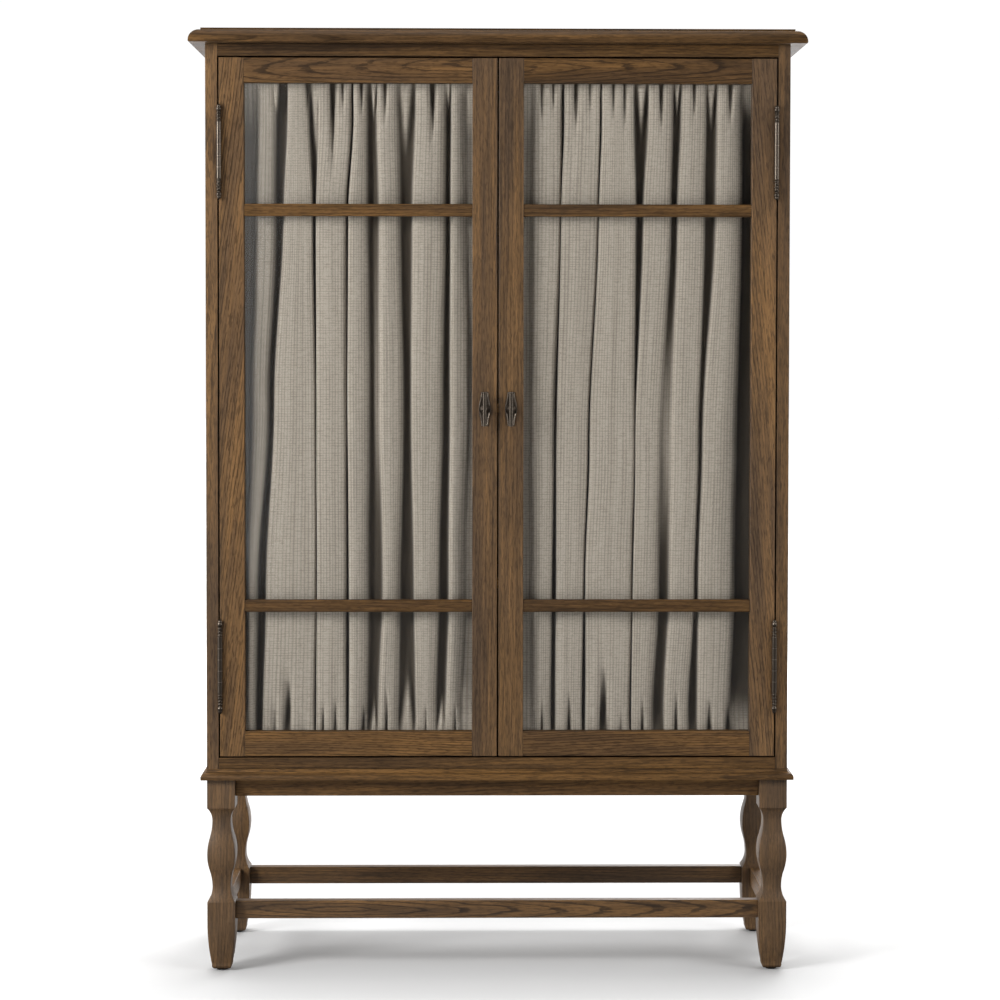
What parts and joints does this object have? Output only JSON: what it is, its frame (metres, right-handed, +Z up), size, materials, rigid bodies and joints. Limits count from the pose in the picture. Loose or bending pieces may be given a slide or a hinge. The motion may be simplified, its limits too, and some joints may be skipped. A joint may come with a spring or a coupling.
{
  "type": "storage cabinet",
  "caption": "Tall oak cabinet on wave-sawn legs with a box stretcher; glazed doors with gathered curtains open on finial hinges over loose shelves.",
  "frame": {"origin": "centre of the bounding box's footprint, on the floor under the glides", "axes": "+Z up, front of the doors towards -Y, +X to the right seen from the front"},
  "size_m": [1.188, 0.4, 1.829],
  "materials": {
    "oak": "satin",
    "oak_back": "satin",
    "glass": "clear",
    "linen": "matte",
    "aged_metal": "aged",
    "rod_metal": "satin",
    "catch_body": "matte",
    "catch_steel": "satin",
    "glide_plastic": "matte"
  },
  "bodies": {
    "cabinet": {"top_board": "oak", "base_board": "oak", "side_panel_left": "oak", "side_panel_right": "oak", "case_top_rail": "oak", "case_bottom_rail": "oak", "case_back_rail": "oak", "case_floor": "oak", "back_panel": "oak_back", "shelf_lower": "oak", "shelf_middle": "oak", "shelf_upper": "oak", "shelf_cleats": "oak", "hinge_case_leaves": "aged_metal", "door_catches": "catch_body", "leg_front_left": "oak", "leg_front_right": "oak", "leg_back_left": "oak", "leg_back_right": "oak", "apron_front": "oak", "apron_back": "oak", "apron_left": "oak", "apron_right": "oak", "stretcher_front": "oak", "stretcher_back": "oak", "stretcher_left": "oak", "stretcher_right": "oak", "corner_blocks": "oak", "glides": "glide_plastic"},
    "left_door": {"left_door_hinge_stile": "oak", "left_door_meeting_stile": "oak", "left_door_top_rail": "oak", "left_door_bottom_rail": "oak", "left_door_upper_bar": "oak", "left_door_lower_bar": "oak", "left_door_glass": "glass", "left_door_glazing_beads": "oak", "left_door_curtain": "linen", "left_door_curtain_rods": "rod_metal", "left_door_rod_brackets": "rod_metal", "left_door_hinge_leaves": "aged_metal", "left_door_pull": "aged_metal", "left_door_pull_plate": "aged_metal", "left_door_strike_plate": "catch_steel"},
    "right_door": {"right_door_hinge_stile": "oak", "right_door_meeting_stile": "oak", "right_door_top_rail": "oak", "right_door_bottom_rail": "oak", "right_door_upper_bar": "oak", "right_door_lower_bar": "oak", "right_door_glass": "glass", "right_door_glazing_beads": "oak", "right_door_curtain": "linen", "right_door_curtain_rods": "rod_metal", "right_door_rod_brackets": "rod_metal", "right_door_hinge_leaves": "aged_metal", "right_door_pull": "aged_metal", "right_door_pull_plate": "aged_metal", "right_door_strike_plate": "catch_steel"}
  },
  "joints": [
    {"name": "left_door_hinge", "type": "hinge", "parent": "cabinet", "child": "left_door", "pos_m": [-0.5375, -0.1752, 0.6], "axis": [0, 0, -1], "range_deg": [0, 180]},
    {"name": "right_door_hinge", "type": "hinge", "parent": "cabinet", "child": "right_door", "pos_m": [0.5375, -0.1752, 0.6], "axis": [0, 0, 1], "range_deg": [0, 180]}
  ]
}
